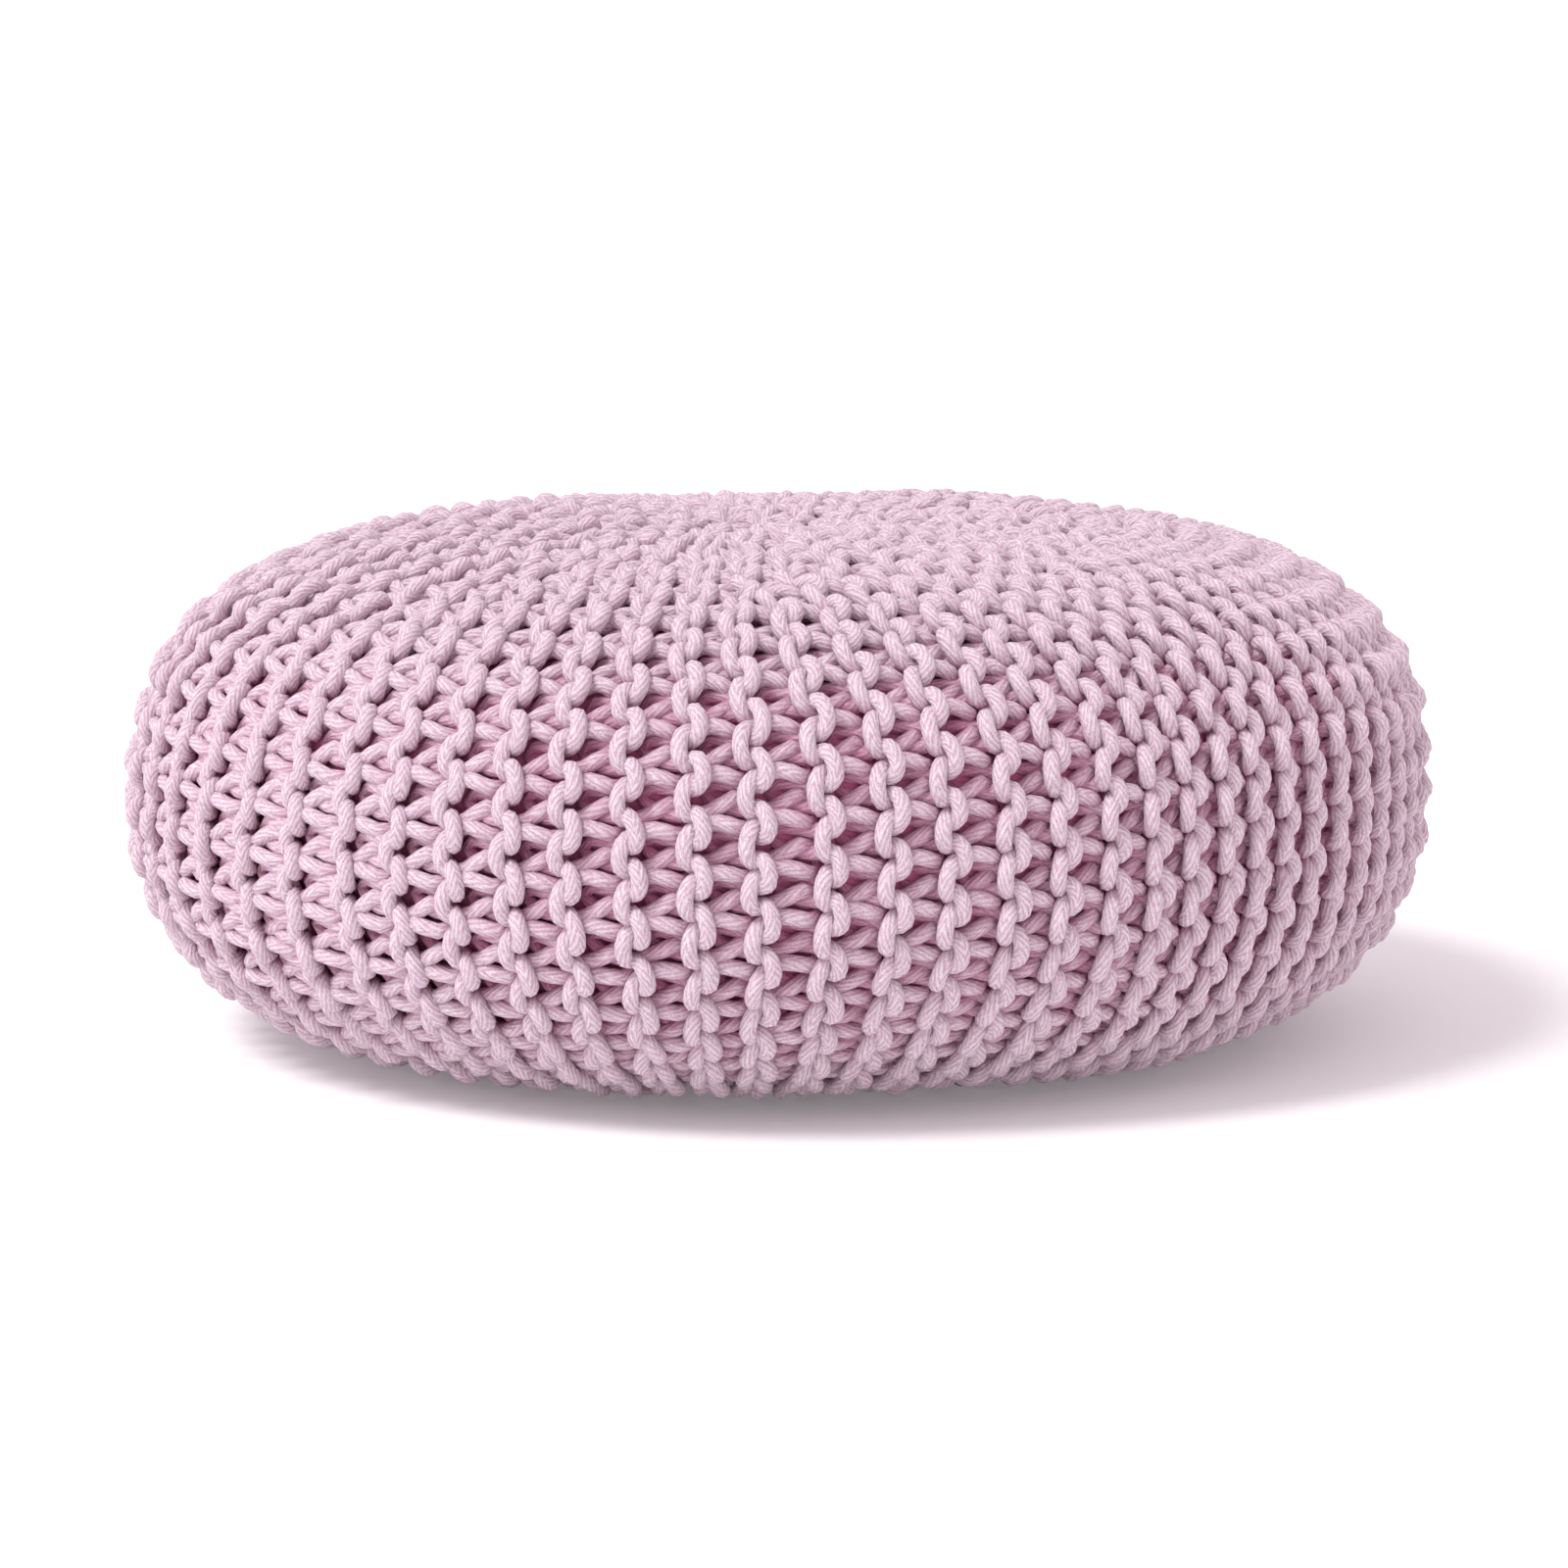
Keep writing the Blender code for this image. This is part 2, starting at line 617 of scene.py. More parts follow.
@dataclass
class StitchShape:
    """The way of the cord through one stitch of garter fabric. Sizes in cord diameters.

    Each knot of a way is its place aside from its ridge, the share of the gap to the next ridge that is
    added to it, its place along the row and its height out of the fabric's middle. Purl rows bulge to the
    left over the ridge on their left, and knit rows to the right over the ridge on their right.
    """

    stitch_pitch: float = 2.95
    samples: int = 17
    front_crowding: float = 0.60  # points are closer together on the outside of the cover
    usual_gap: float = 2.0  # between rows, for sharing out the points along the way
    fineness: float = 16.0  # steps between two knots, for measuring the way
    arc_middle: dict[Face, float] = field(default_factory=lambda: {Face.PURL: 1.33, Face.KNIT: -0.12})
    ways: dict[Face, tuple[tuple[float, float, float, float], ...]] = field(
        default_factory=lambda: {
            Face.PURL: (
                (0.24, 0.00, 0.06, 0.00),
                (-0.14, 0.00, 0.28, 0.38),
                (-0.45, 0.00, 0.68, 0.80),
                (-0.62, 0.00, 1.24, 0.93),
                (-0.62, 0.00, 1.80, 0.88),
                (-0.50, 0.00, 2.18, 0.56),
                (-0.14, 0.00, 2.36, 0.04),
                (0.06, 0.12, 2.28, -0.30),
                (0.00, 0.26, 2.06, -0.24),
                (0.00, 0.46, 1.64, -0.08),
                (0.00, 0.68, 1.20, -0.20),
                (0.00, 0.83, 1.38, -0.80),
                (0.00, 0.87, 2.15, -1.10),
                (0.00, 0.85, 2.95, -0.85),
                (0.00, 0.78, 3.20, -0.40),
                (0.00, 0.65, 2.98, 0.08),
                (0.00, 0.46, 2.76, 0.24),
                (0.00, 0.30, 2.70, 0.14),
                (0.10, 0.16, 2.84, 0.00),
            ),
            Face.KNIT: (
                (0.10, 0.00, -1.04, 0.40),
                (0.42, 0.00, -0.88, 0.80),
                (0.60, 0.00, -0.42, 0.97),
                (0.66, 0.00, 0.12, 0.97),
                (0.51, 0.00, 0.54, 0.80),
                (0.18, 0.00, 0.76, 0.36),
                (-0.24, 0.00, 0.80, -0.08),
                (-0.20, -0.13, 0.76, -0.30),
                (0.00, -0.31, 0.68, -0.42),
                (0.00, -0.55, 0.50, -0.60),
                (0.00, -0.76, 0.50, -0.85),
                (0.00, -0.86, 1.10, -1.10),
                (0.00, -0.76, 1.70, -0.90),
                (0.00, -0.57, 1.90, -0.65),
                (0.00, -0.31, 2.10, -0.45),
                (-0.20, -0.10, 2.02, -0.25),
                (-0.22, 0.00, 1.92, 0.02),
            ),
        }
    )
    fixed: dict[Face, np.ndarray] = field(init=False)
    spread: dict[Face, np.ndarray] = field(init=False)
    between: dict[Face, np.ndarray] = field(init=False)

    def __post_init__(self) -> None:
        """Rounds both ways and reads their points: a part that stays and one that grows with the gap."""
        self.fixed, self.spread, self.between = {}, {}, {}
        step = np.arange(self.samples) / self.samples
        for face, way in self.ways.items():
            knots = np.array(way)
            stays, grows, gap = np.zeros((3, len(knots), 3))
            gap[:, 2] = np.minimum(np.abs(knots[:, 1]) / 0.2, 1.0)
            stays[:, 0], stays[:, 1], stays[:, 2] = knots[:, 0], knots[:, 2], knots[:, 3]
            grows[:, 0] = 2.0 * knots[:, 1]
            grows[:, 0] -= 0.5 * face.value
            fine = np.arange(len(knots) * self.fineness) / self.fineness
            curve = self._rounded(stays, fine, self.stitch_pitch)
            curve = curve + self.usual_gap * self._rounded(grows, fine, 0.0)
            closed = np.vstack([curve, curve[0] + (0.0, self.stitch_pitch, 0.0)])
            gaps = np.linalg.norm(np.diff(closed, axis=0), axis=1)
            near = 1.0 + self.front_crowding * np.tanh(1.5 * curve[:, 2])
            length = np.concatenate([[0.0], np.cumsum(gaps * near)])
            spots = np.interp(step * length[-1], length, np.append(fine, len(knots)))
            self.fixed[face] = self._rounded(stays, spots, self.stitch_pitch)
            self.spread[face] = self._rounded(grows, spots, 0.0)
            self.between[face] = self._rounded(gap, spots, 0.0)

    @staticmethod
    def _rounded(knots: np.ndarray, spots: np.ndarray, pitch: float) -> np.ndarray:
        """Reads a smooth line through knots that repeat along the row.

        Args:
            knots: One point a row.
            spots: Where it is read, counted in knots.
            pitch: How far the line moves along the row until it repeats.

        Returns:
            One point for each spot.
        """
        count = len(knots)
        place = np.floor(spots).astype(int)
        part = (spots - place)[:, None]

        def knot(shift: int) -> np.ndarray:
            """The knots that lie so many before or after the places read."""
            index = place + shift
            return knots[index % count] + np.outer(index // count, (0.0, pitch, 0.0))

        before, first, second, after = knot(-1), knot(0), knot(1), knot(2)
        bend = 2.0 * before - 5.0 * first + 4.0 * second - after
        twist = 3.0 * (first - second) + after - before
        return first + 0.5 * part * (second - before + part * (bend + part * twist))

    def row(self, face: Face, pitch: np.ndarray, rise: np.ndarray) -> np.ndarray:
        """Loop points for a run of samples.

        Args:
            face: The kind of row.
            pitch: The row pitch at every sample, in cord diameters, a whole number of stitches long.
            rise: How much higher the cord lies between the ridges.

        Returns:
            For each sample its place across the row, along its stitch and out of the fabric.
        """
        sample = np.arange(len(pitch)) % self.samples
        way = self.fixed[face][sample] + self.spread[face][sample] * pitch[:, None]
        return way + self.between[face][sample] * rise[:, None]


# ---------------------------------------------------------------- the cover


@dataclass
class RowPlan:
    """Where each row runs. The cover is knitted in wedges of short rows, so that it fits the smaller
    girth near the poles: in each wedge a pair of rows, there and back, reaches further than the last.
    """

    form: PoufForm
    pairs: int = 72
    wedges: int = 24
    crown_short: float = 0.262  # run from a pole within which rows drop out
    base_short: float = 0.250
    hole: float = 0.012  # run from a pole at which the last rows stop
    taper: float = 0.050  # length over which the neighbours close in beyond a turning place
    spacing_turns: tuple[float, ...] = (
        -180, -110, -85, -70, -60, -50, -40, -30, -20, -10, 0, 10, 20, 30, 40, 50, 60, 70, 85, 110, 180
    )  # fmt: skip
    spacing: tuple[float, ...] = (
        5.05, 5.1, 6.2, 6.5, 6.25, 6.2, 5.65, 5.1, 5.15, 5.45, 5.35,
        5.2, 4.9, 4.3, 4.2, 4.15, 4.2, 4.3, 4.5, 5.0, 5.05
    )  # fmt: skip
    waist_share: tuple[float, ...] = (
        0.0, 0.117, 0.233, 0.396, 0.443, 0.495, 0.548, 0.606, 0.70, 0.874, 1.0
    )  # fmt: skip
    waist_turn: tuple[float, ...] = (-6.4, -6.4, -4.8, -1.1, -0.2, 0.2, -0.1, -1.2, -3.2, -5.4, -6.4)
    lean: float = math.radians(3.0)  # how far round a row comes on its way down
    lean_span: tuple[float, float] = (0.25, 0.5)  # share of the side where that starts, and over which
    bow_turn: float = math.radians(12.0)  # middle of the rows that follow the waist's table
    bow_width: float = math.radians(30.0)
    swing: float = math.radians(2.4)  # how far the flanks' rows swing round below the shoulder
    swing_span: tuple[float, float] = (0.36, 0.22)
    flank: Stretch = Stretch(0.55, 0.45, 1.6, 0.7)
    unequal: float = 0.05
    base_offset: float = 0.41  # sets the base's turning places apart from the crown's
    grid_size: int = 700
    seed: int = 11
    starts: np.ndarray = field(init=False)
    ends: np.ndarray = field(init=False)
    grid: np.ndarray = field(init=False)
    width: np.ndarray = field(init=False)
    turn: np.ndarray = field(init=False)
    pitch: np.ndarray = field(init=False)

    def __post_init__(self) -> None:
        """Works out the turning places, and every row's angle along its run."""
        length = self.form.length
        rng = np.random.default_rng(self.seed)
        self.starts = self._turning(self.crown_short, 0.0)
        self.ends = length - self._turning(self.base_short, self.base_offset)
        self.grid = np.linspace(0.0, length, self.grid_size)
        own = 1.0 + self.unequal * rng.uniform(-1.0, 1.0, self.pairs)
        rise = smooth_step((self.grid[None] - self.starts[:, None]) / self.taper + 0.5)
        fall = smooth_step((self.ends[:, None] - self.grid[None]) / self.taper + 0.5)
        self.width = rise * fall
        shares = np.maximum(self.width * own[:, None], 1e-4)
        edges = np.vstack([np.zeros_like(self.grid), np.cumsum(shares, axis=0)])
        edges = self._bunched(edges / edges[-1])
        edges = edges + self._drift(edges, self.grid[None])
        span = np.diff(edges, axis=0)
        rows = np.stack([edges[:-1] + 0.25 * span, edges[:-1] + 0.75 * span], axis=1)
        self.turn = rows.reshape(-1, self.grid_size)
        self.pitch = np.repeat(0.5 * span * self.form.girth_radius(self.grid), 2, axis=0)

    def _turning(self, short: float, offset: float) -> np.ndarray:
        """Runs from a pole at which the pairs end.

        Args:
            short: Run within which rows drop out.
            offset: Where the wedges' own offsets start, as a share of a step.

        Returns:
            One run for each pair.
        """
        order = np.arange(self.pairs)
        wedge = order * self.wedges // self.pairs
        first = -(-wedge * self.pairs // self.wedges)
        size = -(-(wedge + 1) * self.pairs // self.wedges) - first
        golden = (math.sqrt(5.0) - 1.0) / 2.0
        own = (wedge * golden + offset) % 1.0
        return np.maximum(short * (size - 1 - (order - first) + own) / size, self.hole)

    def _bunched(self, share: np.ndarray) -> np.ndarray:
        """Places rows closer together where the cover is drawn tight, on the right.

        Args:
            share: Places from 0 to 1 round the pouf, starting from behind.

        Returns:
            Their turns.
        """
        knots = np.radians(np.linspace(-180.0, 180.0, 721))
        width = np.interp(knots, np.radians(self.spacing_turns), self.spacing)
        for _ in range(3):  # rounds off the corners of the table
            width = (np.roll(width, 6) + width + np.roll(width, -6)) / 3.0
        count = np.concatenate([[0.0], np.cumsum(1.0 / width[1:] + 1.0 / width[:-1])])
        return np.interp(share, count / count[-1], knots)

    def _drift(self, turn: np.ndarray, run: np.ndarray) -> np.ndarray:
        """How far the rows wander round the pouf on their way down.

        Args:
            turn: Each row's own angle.
            run: How far down it is.

        Returns:
            Angles to add.
        """
        share = run / self.form.length
        (lean_start, lean_length), (swing_start, swing_length) = self.lean_span, self.swing_span
        lean = self.lean * (smooth_step((share - lean_start) / lean_length) - 0.5)
        front = np.exp(-(((turn - self.bow_turn) / self.bow_width) ** 2))
        bow = np.radians(np.interp(share, self.waist_share, self.waist_turn)) * front
        below = smooth_step((share - swing_start) / swing_length)
        return lean + bow - self.swing * self.flank.at(np.abs(turn)) * below


@dataclass
class KnitCover:
    """The knitted cover: rows of loops in panels, each panel one mesh."""

    form: PoufForm
    plan: RowPlan
    book: StitchShape
    spinner: "CordSpinner"
    cord: float
    panels: int = 6
    proud: float = 0.14  # on each flank the arcs that face the front stand higher, in cord diameters
    low: float = 0.40  # and those behind them lower
    drawn_in: float = 0.38  # and less far aside
    plump: float = 0.19  # how much shorter the arcs that face the front are
    right_plump: float = 0.22  # the same again on the right, where they are crowded
    crown_hook: float = 0.22  # how much shorter the knit arcs are on the crown
    crown_press: float = 0.10  # how much lower the arcs lie on the crown, where they are sat on
    tuck: float = 1.3  # how deep a short row's end goes under its neighbours, in cord diameters
    least_width: float = 0.05  # of a row, as a share of its full width
    least_girth: float = 0.4  # distance from the axis for laying loops, as a share of the plan's hole
    crown_rise: float = 0.60  # how much shallower the channels are on the crown, in cord diameters
    left_rise: float = 0.55  # the same on the left, where the rows are pulled apart
    right_fall: float = 0.35  # how much deeper they are on the right, where the rows are close
    slack: float = 0.10  # unevenness of single loops, in cord diameters
    shoulder_stretch: float = 0.08  # stitches are longer where the rows lie close, on the shoulders
    shoulder: tuple[float, float] = (0.22, 0.07)  # run of the shoulder's middle, and its half width
    crown_edge: tuple[float, float] = (0.19, 0.13)  # run where the crown ends, and over which it fades
    left: Stretch = Stretch(0.2, 0.5, 1.6, 0.8)  # counted to the left
    right: Stretch = Stretch(0.4, 0.5, 1.6, 0.8)
    course_step: float = 0.013  # how far the lines of stitches climb across the front
    course_turns: tuple[float, float] = (math.radians(33.0), math.radians(50.0))  # from the left, over
    course_tilt: float = 0.005
    seed: int = 23
    stitch_count: np.ndarray = field(init=False)

    def __post_init__(self) -> None:
        """Works out how long the stitches are all the way down the side."""
        middle, half = self.shoulder
        pitch = self.book.stitch_pitch * self.cord
        near = (self.plan.grid - middle) / half
        local = pitch * (1.0 + self.shoulder_stretch * np.exp(-0.5 * near * near))
        steps = np.diff(self.plan.grid) * 0.5 * (1.0 / local[1:] + 1.0 / local[:-1])
        self.stitch_count = np.concatenate([[0.0], np.cumsum(steps)])

    def build(self) -> list[bpy.types.Object]:
        """Builds all panels.

        Returns:
            The panels' objects.
        """
        share = self.plan.pairs // self.panels
        rng = np.random.default_rng(self.seed)
        made = []
        for panel in range(self.panels):
            pairs = range(panel * share, (panel + 1) * share)
            paths = [self.pair_path(pair, rng) for pair in pairs]
            made.append(self.spinner.spin(f"knit_panel_{panel + 1}", paths))
        return made

    def pair_path(self, pair: int, rng: np.random.Generator) -> np.ndarray:
        """The centre line of two rows knitted there and back, joined at their turning places.

        Args:
            pair: The pair's number round the pouf.
            rng: Where the unevenness of the loops comes from.

        Returns:
            Points in metres, round a closed line.
        """
        ends = [self.plan.starts[pair], self.plan.ends[pair]]
        first, last = np.interp(ends, self.plan.grid, self.stitch_count)
        spans = (round(first), round(last))
        there = self.row_path(2 * pair, Face.PURL, spans, rng)
        back = self.row_path(2 * pair + 1, Face.KNIT, spans, rng)[::-1]
        path = np.concatenate([there, self._bend(there, back), back, self._bend(back, there)])
        path[:, 2] = np.maximum(path[:, 2], self.spinner.reach)
        return path

    def _bend(self, end: np.ndarray, start: np.ndarray) -> np.ndarray:
        """Carries the cord round from one row's end to the next row's start.

        Args:
            end: The points of the row that ends.
            start: The points of the row that starts.

        Returns:
            Two points between them.
        """
        away = end[-1] - end[-3] + start[0] - start[2]
        away *= 0.7 * self.cord / max(float(np.linalg.norm(away)), 1e-9)
        return np.stack([end[-1] * share + start[0] * (1.0 - share) + away for share in (0.75, 0.25)])

    def row_path(
        self, number: int, face: Face, spans: tuple[int, int], rng: np.random.Generator
    ) -> np.ndarray:
        """The centre line of one row's cord.

        Args:
            number: The row's number round the pouf.
            face: How the row looks from outside.
            spans: The first stitch, and the one after the last.
            rng: Where the unevenness of the loops comes from.

        Returns:
            Points in metres.
        """
        first, last = spans
        stitches = last - first
        samples = self.book.samples
        stitch = first + np.arange(stitches * samples) / samples
        run = np.interp(stitch, self.stitch_count, self.plan.grid)
        row_pitch = np.interp(run, self.plan.grid, self.plan.pitch[number]) / self.cord
        loop = self.book.row(face, row_pitch, self._rise(number, run))
        self._settle(loop, face, row_pitch, np.interp(run, self.plan.grid, self.plan.turn[number]), run)
        stitch = np.repeat(np.arange(first, last), samples) + loop[:, 1] / self.book.stitch_pitch
        run = np.interp(stitch, self.stitch_count, self.plan.grid)
        turn = np.interp(run, self.plan.grid, self.plan.turn[number])
        width = np.interp(run, self.plan.grid, self.plan.width[number // 2])
        run = run + self.course_drift(turn, run)
        girth = np.maximum(self.form.girth_radius(run), self.least_girth * self.plan.hole)
        loose = self._loose(rng, stitches)
        across = (loop[:, 0] * np.sqrt(np.maximum(width, self.least_width)) + loose[:, 0]) * self.cord
        sunk = self.tuck * (1.0 - smooth_step(2.0 * width - 0.9))  # where it is under its full width
        lift = (loop[:, 2] + loose[:, 2] - sunk) * self.cord
        points = self.form.place(turn + across / girth, run + loose[:, 1] * self.cord, lift)
        return points

    def _settle(
        self, loop: np.ndarray, face: Face, pitch: np.ndarray, turn: np.ndarray, run: np.ndarray
    ) -> None:
        """Shapes the arcs that lie over the ridges. On the flanks those that face the front stand proud
        and plump, and those behind them are drawn in; on the crown they are sat flat.

        Args:
            loop: Loop points, changed in place.
            face: The kind of row.
            pitch: The row pitch at every point, in cord diameters.
            turn: The row's angle round the pouf at every point.
            run: How far down the row every point is.
        """
        outer = smooth_step(loop[:, 2] / 0.8)
        facing = face.value * np.sin(turn)
        ahead, behind = outer * np.maximum(facing, 0.0), outer * np.maximum(-facing, 0.0)
        crown = outer * self._crown(run)
        middle = self.book.arc_middle[face]
        plump = self.plump + self.right_plump * (face is Face.PURL)
        short = plump * ahead + self.crown_hook * crown * (face is Face.KNIT)
        loop[:, 0] -= self.drawn_in * behind * (loop[:, 0] + 0.5 * face.value * pitch)
        loop[:, 1] -= short * (loop[:, 1] - middle)
        loop[:, 2] += self.proud * ahead - self.low * behind - self.crown_press * crown

    def _rise(self, number: int, run: np.ndarray) -> np.ndarray:
        """How much higher the cord lies between the ridges, where the stuffing draws the cover flat.

        Args:
            number: The row's number round the pouf.
            run: How far down the row every point is.

        Returns:
            Heights in cord diameters.
        """
        turn = np.interp(run, self.plan.grid, self.plan.turn[number])
        crown = self._crown(run)
        side = self.left_rise * self.left.at(-turn)
        side = side - self.right_fall * self.right.at(turn) * (1.0 - crown)
        return np.maximum(self.crown_rise * crown, side) + np.minimum(side, 0.0)

    def _crown(self, run: np.ndarray) -> np.ndarray:
        """How much each place belongs to the crown, from 0 to 1."""
        edge, fade = self.crown_edge
        return 1.0 - smooth_step((run - edge) / fade)

    def course_drift(self, turn: np.ndarray, run: np.ndarray) -> np.ndarray:
        """How the lines of stitches round the pouf wander up and down.

        Args:
            turn: Angle round the pouf at every point.
            run: How far down it is.

        Returns:
            Runs to add, in metres.
        """
        start, width = self.course_turns
        middle = np.sin(np.clip(run / self.form.length, 0.0, 1.0) * math.pi)
        step = smooth_step((turn + start) / width) - (turn + math.pi) / TAU
        return middle * (-self.course_step * step - self.course_tilt * np.sin(turn - 0.2))

    def _loose(self, rng: np.random.Generator, stitches: int) -> np.ndarray:
        """Smooth random offsets along a row, two a stitch.

        Args:
            rng: Where they come from.
            stitches: How many stitches the row has.

        Returns:
            Offsets across the row, along it and out of it, in cord diameters.
        """
        knots = 2 * stitches + 1
        spots = np.linspace(0.0, knots - 1.0, stitches * self.book.samples)
        values = rng.normal(0.0, self.slack, (knots, 3))
        lines = [np.interp(spots, np.arange(knots), values[:, axis]) for axis in range(3)]
        return np.stack(lines, axis=-1)


@dataclass
class CordSpinner:
    """Makes meshes of cord that runs along given lines."""

    form: PoufForm
    finish: bpy.types.Material
    cord: float
    fullness: float = 1.06  # an eight-sided cord is drawn a little thicker, so that it looks round
    stagger: float = 0.37  # metres by which each cord's pattern is moved on from the last one's
    strip_margin: float = 0.04
    end_margin: float = 0.002
    crown_light_lift: float = 0.32  # how much further out the crown's cord counts: painted light, which paints the top paler
    crown_light_from: float = 0.72  # share of the height at which the painted light starts
    crown_light_over: float = 0.16  # share of the height over which it grows

    @property
    def reach(self) -> float:
        """How far the cord reaches from its centre line."""
        return 0.5 * self.cord * self.fullness

    def spin(self, name: str, paths: list[np.ndarray]) -> bpy.types.Object:
        """Bevelled curves along closed lines, made one mesh with its two UV maps and its heights.

        Args:
            name: The object's name.
            paths: Centre lines, each an array of points that runs back to its start.

        Returns:
            The mesh object.
        """
        curve = bpy.data.curves.new(name + "_line", "CURVE")
        curve.dimensions = "3D"
        curve.bevel_depth = self.reach
        curve.bevel_resolution = 2
        for path in paths:
            spline = curve.splines.new("POLY")
            spline.points.add(len(path) - 1)
            line = np.ones((len(path), 4), np.float32)
            line[:, :3] = path
            spline.points.foreach_set("co", line.ravel())
            spline.use_cyclic_u = True
        guide = bpy.data.objects.new(name + "_line", curve)
        bpy.context.scene.collection.objects.link(guide)
        bpy.context.view_layer.update()
        graph = bpy.context.evaluated_depsgraph_get()
        mesh = bpy.data.meshes.new_from_object(guide.evaluated_get(graph))
        bpy.data.objects.remove(guide)
        bpy.data.curves.remove(curve)
        mesh.name = name
        mesh.materials.clear()
        mesh.materials.append(self.finish)
        mesh.shade_smooth()
        self._map_cords(mesh, paths)
        self._note_heights(mesh)
        piece = bpy.data.objects.new(name, mesh)
        bpy.context.scene.collection.objects.link(piece)
        return piece

    def _map_cords(self, mesh: bpy.types.Mesh, paths: list[np.ndarray]) -> None:
        """Gives the cords a UV map in real lengths, and one with a strip for each cord.

        Args:
            mesh: A mesh made from bevelled curves, whose own map runs from 0 to 1 along each cord.
            paths: The cords' centre lines, in the mesh's order.
        """
        own = mesh.uv_layers[0]
        flat = np.empty(len(mesh.loops) * 2, np.float32)
        own.uv.foreach_get("vector", flat)
        flat = flat.reshape(-1, 2)
        share = np.array([len(path) for path in paths])
        cord = np.repeat(np.arange(len(paths)), share * (len(mesh.loops) // share.sum()))
        lengths = np.array([np.linalg.norm(np.diff(path, axis=0), axis=1).sum() for path in paths])
        real = flat.copy()
        real[:, 0] = real[:, 0] * lengths[cord] + cord * self.stagger
        own.name = CORD_MAP
        own.uv.foreach_set("vector", real.ravel())
        strip = flat.copy()
        across = self.strip_margin + (1.0 - 2.0 * self.strip_margin) * strip[:, 1]
        strip[:, 1] = (cord + across) / len(paths)
        strip[:, 0] = self.end_margin + (1.0 - 2.0 * self.end_margin) * strip[:, 0]
        mesh.uv_layers.new(name=STRIP_MAP).uv.foreach_set("vector", strip.ravel())

    def _note_heights(self, mesh: bpy.types.Mesh) -> None:
        """Notes on every point how far out of the fabric it lies, which sets the painted shade, and more
        on the crown, as painted light.

        Args:
            mesh: The cords' mesh.
        """
        points = np.empty(len(mesh.vertices) * 3, np.float32)
        mesh.vertices.foreach_get("co", points)
        points = points.reshape(-1, 3)
        # painted light: the top counts as further out, so its cord is painted paler
        crown = smooth_step((points[:, 2] / self.form.height - self.crown_light_from) / self.crown_light_over)
        lift = self.form.lift(points) / self.cord + self.crown_light_lift * crown
        heights = mesh.attributes.new(LIFT_MAP, "FLOAT", "POINT")
        heights.data.foreach_set("value", lift.astype(np.float32))


@dataclass
class PoleGather:
    """The drawn-up centre of the crown or the base: the cord that closes it, through the last loops."""

    form: PoufForm
    side: Side
    spinner: CordSpinner
    cord: float
    ring_radius: float = 0.0085
    threads: int = 6
    points_a_thread: int = 8
    weave: float = 0.45  # how far it goes over and under, in cord diameters
    depth: float = 0.004

    def build(self) -> bpy.types.Object:
        """Builds the closing cord, a ring that goes over and under.

        Returns:
            The ring's object.
        """
        turn = np.linspace(0.0, TAU, self.threads * self.points_a_thread + 1)[:-1]
        run = np.full_like(turn, self.ring_radius)
        if self.side is Side.BASE:
            run = self.form.length - run
        lift = np.sin(turn * self.threads * 0.5) * self.weave * self.cord - self.depth
        path = self.form.place(turn, run, lift)
        path[:, 2] = np.maximum(path[:, 2], self.spinner.reach)
        return self.spinner.spin(f"{self.side.value}_gather", [path])


@dataclass
class StuffedBody:
    """The filled body under the loops, seen only as shade between them."""

    form: PoufForm
    finish: bpy.types.Material
    cord: float
    depth: float = 0.80  # below the fabric's middle, in cord diameters
    pole_depth: float = 1.3  # how much deeper it is drawn in at the poles
    pole_radius: float = 0.055
    around: int = 96
    levels: int = 40

    def build(self) -> bpy.types.Object:
        """Spins the side curve into a closed body.

        Returns:
            The body's object.
        """
        body = bmesh.new()
        run = np.linspace(0.0, self.form.length, self.levels + 1)
        turn = np.full_like(run, 0.5 * math.pi)
        aside = np.minimum(run, self.form.length - run)
        depth = self.depth + self.pole_depth * np.exp(-((aside / self.pole_radius) ** 2))
        points = self.form.place(turn, run, -depth * self.cord)
        points[:, 2] = np.maximum(points[:, 2], 0.0)
        points[:, 1] = 0.0
        points[0, 0] = points[-1, 0] = 0.0
        rim = [body.verts.new(point) for point in points]
        edges = [body.edges.new(pair) for pair in zip(rim, rim[1:])]
        bmesh.ops.spin(
            body,
            geom=rim + edges,
            axis=(0.0, 0.0, 1.0),
            cent=(0.0, 0.0, 0.0),
            angle=TAU,
            steps=self.around,
            use_merge=True,
        )
        bmesh.ops.remove_doubles(body, verts=body.verts, dist=1e-5)
        bmesh.ops.recalc_face_normals(body, faces=body.faces)
        mesh = bpy.data.meshes.new("stuffed_body")
        body.to_mesh(mesh)
        body.free()
        mesh.shade_smooth()
        mesh.materials.append(self.finish)
        piece = bpy.data.objects.new("stuffed_body", mesh)
        bpy.context.scene.collection.objects.link(piece)
        return piece


# ---------------------------------------------------------------- the studio


class Lamp(NamedTuple):
    """A soft lamp far away."""

    name: str
    towards: tuple[float, float, float]  # the direction in which it stands
    power: float
    spread: float  # how wide it looks from the pouf, in degrees


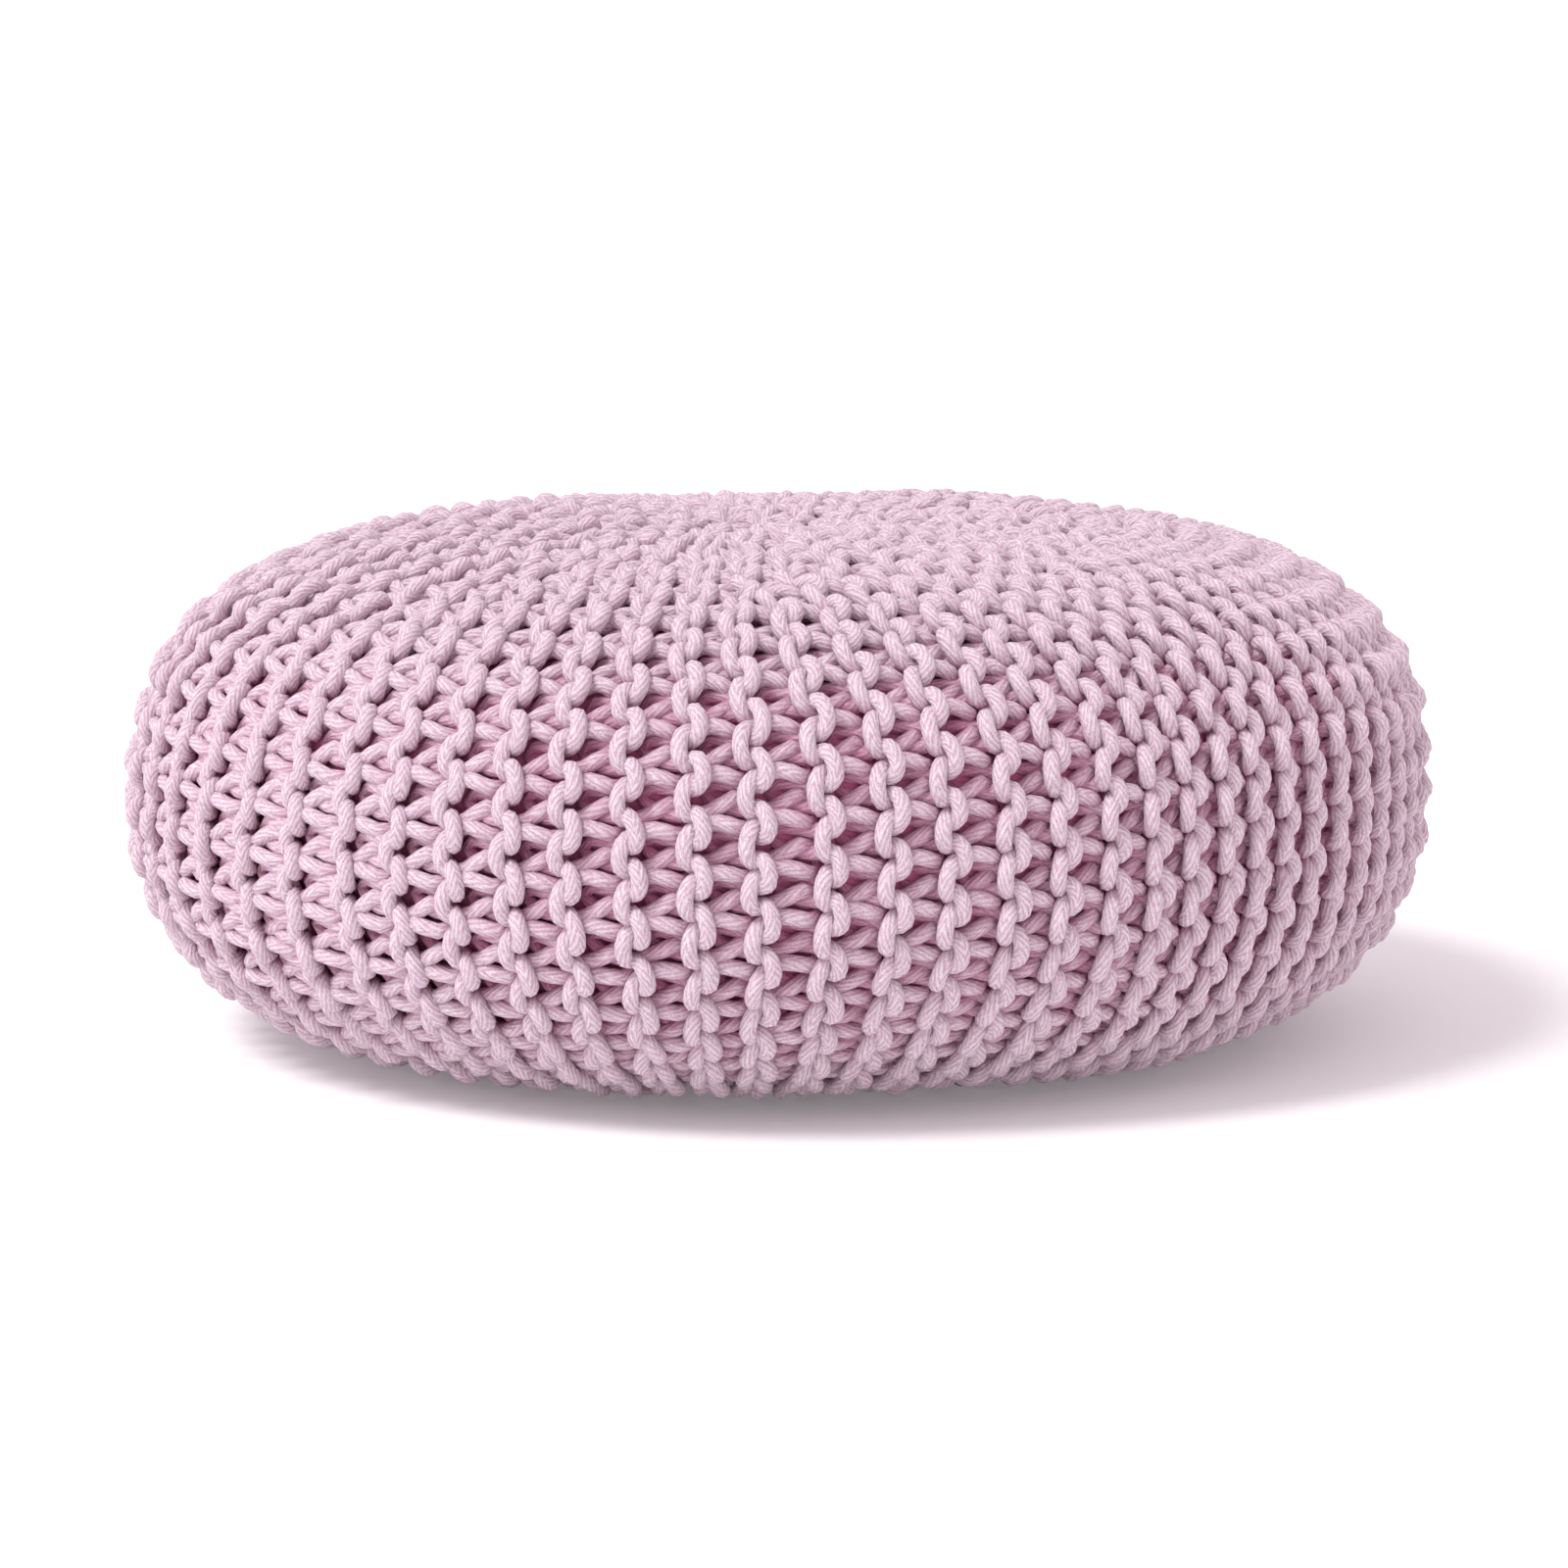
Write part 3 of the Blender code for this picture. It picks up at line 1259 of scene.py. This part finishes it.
@dataclass
class Studio:
    """Pale floor, soft light and the camera."""

    target_level: float
    radius: float
    distance_in_radii: float = 8.0
    elevation: float = math.radians(8.5)
    lens: float = 118.9
    aim_right: float = 0.0032
    aim_up: float = 0.0106
    roll: float = math.radians(-0.25)
    floor_radius: float = 25.0
    rim_height: float = 3.6
    wall_glow: float = 0.42  # lit evenly, so that it is as pale as the floor from every side
    lamps: tuple[Lamp, ...] = (
        Lamp("key", (-0.58, -0.38, 0.94), 2.2, 22.0),
        Lamp("low_fill", (-0.85, -0.48, 0.18), 0.47, 40.0),
    )
    lamp_colour: tuple[float, float, float] = (0.97, 1.0, 0.985)  # a little cooler than the walls
    wall_light: tuple[float, float, float, float] = (1.0, 0.89, 0.945, 1.0)
    wall_power: float = 0.82

    def build(self) -> None:
        """Sets up everything that isn't the pouf."""
        self._floor()
        self._camera()
        for lamp in self.lamps:
            self._hang(lamp)
        self._surroundings()

    def _floor(self) -> None:
        """A wide round floor under the pouf, turned up at its rim."""
        plate = bmesh.new()
        bmesh.ops.create_circle(plate, cap_ends=True, segments=96, radius=self.floor_radius)
        rim = bmesh.ops.extrude_edge_only(plate, edges=list(plate.edges))["geom"]
        raised = [part for part in rim if isinstance(part, bmesh.types.BMVert)]
        for wall in (part for part in rim if isinstance(part, bmesh.types.BMFace)):
            wall.material_index = 1
        bmesh.ops.translate(plate, verts=raised, vec=(0.0, 0.0, self.rim_height))
        mesh = bpy.data.meshes.new("studio_floor")
        plate.to_mesh(mesh)
        plate.free()
        mesh.materials.append(StudioFloor().material())
        mesh.materials.append(StudioFloor("studio_wall", glow=self.wall_glow).material())
        floor = bpy.data.objects.new("studio_floor", mesh)
        bpy.context.scene.collection.objects.link(floor)

    def _camera(self) -> None:
        """A long lens, a little above the pouf, aimed just over its widest level."""
        back = self.radius * self.distance_in_radii
        above = self.target_level + back * math.sin(self.elevation)
        place = Vector((0.0, -back * math.cos(self.elevation), above))
        aim = Vector((self.aim_right, 0.0, self.target_level + self.aim_up))
        lens = bpy.data.cameras.new("camera")
        lens.lens = self.lens
        lens.sensor_width = 36.0
        camera = bpy.data.objects.new("camera", lens)
        camera.location = place
        camera.rotation_euler = (aim - place).to_track_quat("-Z", "Y").to_euler()
        camera.rotation_euler.rotate_axis("Z", self.roll)
        bpy.context.scene.collection.objects.link(camera)
        bpy.context.scene.camera = camera

    def _hang(self, lamp: Lamp) -> None:
        """Hangs one lamp.

        Args:
            lamp: The lamp.
        """
        light = bpy.data.lights.new(lamp.name, "SUN")
        light.energy = lamp.power
        light.color = self.lamp_colour
        light.angle = math.radians(lamp.spread)
        holder = bpy.data.objects.new(lamp.name, light)
        holder.rotation_euler = (-Vector(lamp.towards)).to_track_quat("-Z", "Y").to_euler()
        bpy.context.scene.collection.objects.link(holder)

    def _surroundings(self) -> None:
        """An even light from all round, warmed by the studio's walls."""
        world = bpy.data.worlds.new("studio")
        world.use_nodes = True
        shade = world.node_tree.nodes["Background"]
        shade.inputs["Color"].default_value = self.wall_light
        shade.inputs["Strength"].default_value = self.wall_power
        bpy.context.scene.world = world
        bpy.context.scene.view_settings.view_transform = "Standard"


# ---------------------------------------------------------------- all together


def hand_over(piece: bpy.types.Object) -> None:
    """Puts a piece on the body it rides on, and hides the model's part that the pieces stand in for.

    Args:
        piece: The piece's object.
    """
    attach(piece, BODY)
    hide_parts(NODE)


def main() -> None:
    """Builds the pouf and its studio, in order."""
    logging.basicConfig(level=logging.INFO, format="%(message)s")
    low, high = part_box(NODE)
    radius = 0.25 * ((high.x - low.x) + (high.y - low.y))
    cord = radius * CORD_SHARE
    form = PoufForm(radius=radius, height=high.z - low.z, cover_depth=COVER_DEPTH * cord)
    Studio(target_level=form.widest_level, radius=radius).build()
    cotton = CottonCord(diameter=cord).material()
    body = StuffedBody(form, PaintedShadeCloth().material(), cord).build()
    hand_over(body)
    log.info("stuffed body: %d faces", len(body.data.polygons))
    plan = RowPlan(form)
    book = StitchShape()
    spinner = CordSpinner(form, cotton, cord)
    for panel in KnitCover(form, plan, book, spinner, cord).build():
        hand_over(panel)
        log.info("%s: %d faces", panel.name, len(panel.data.polygons))
    for side in Side:
        ring = PoleGather(form, side, spinner, cord).build()
        hand_over(ring)
        log.info("%s: %d faces", ring.name, len(ring.data.polygons))


if __name__ == "__main__":
    main()
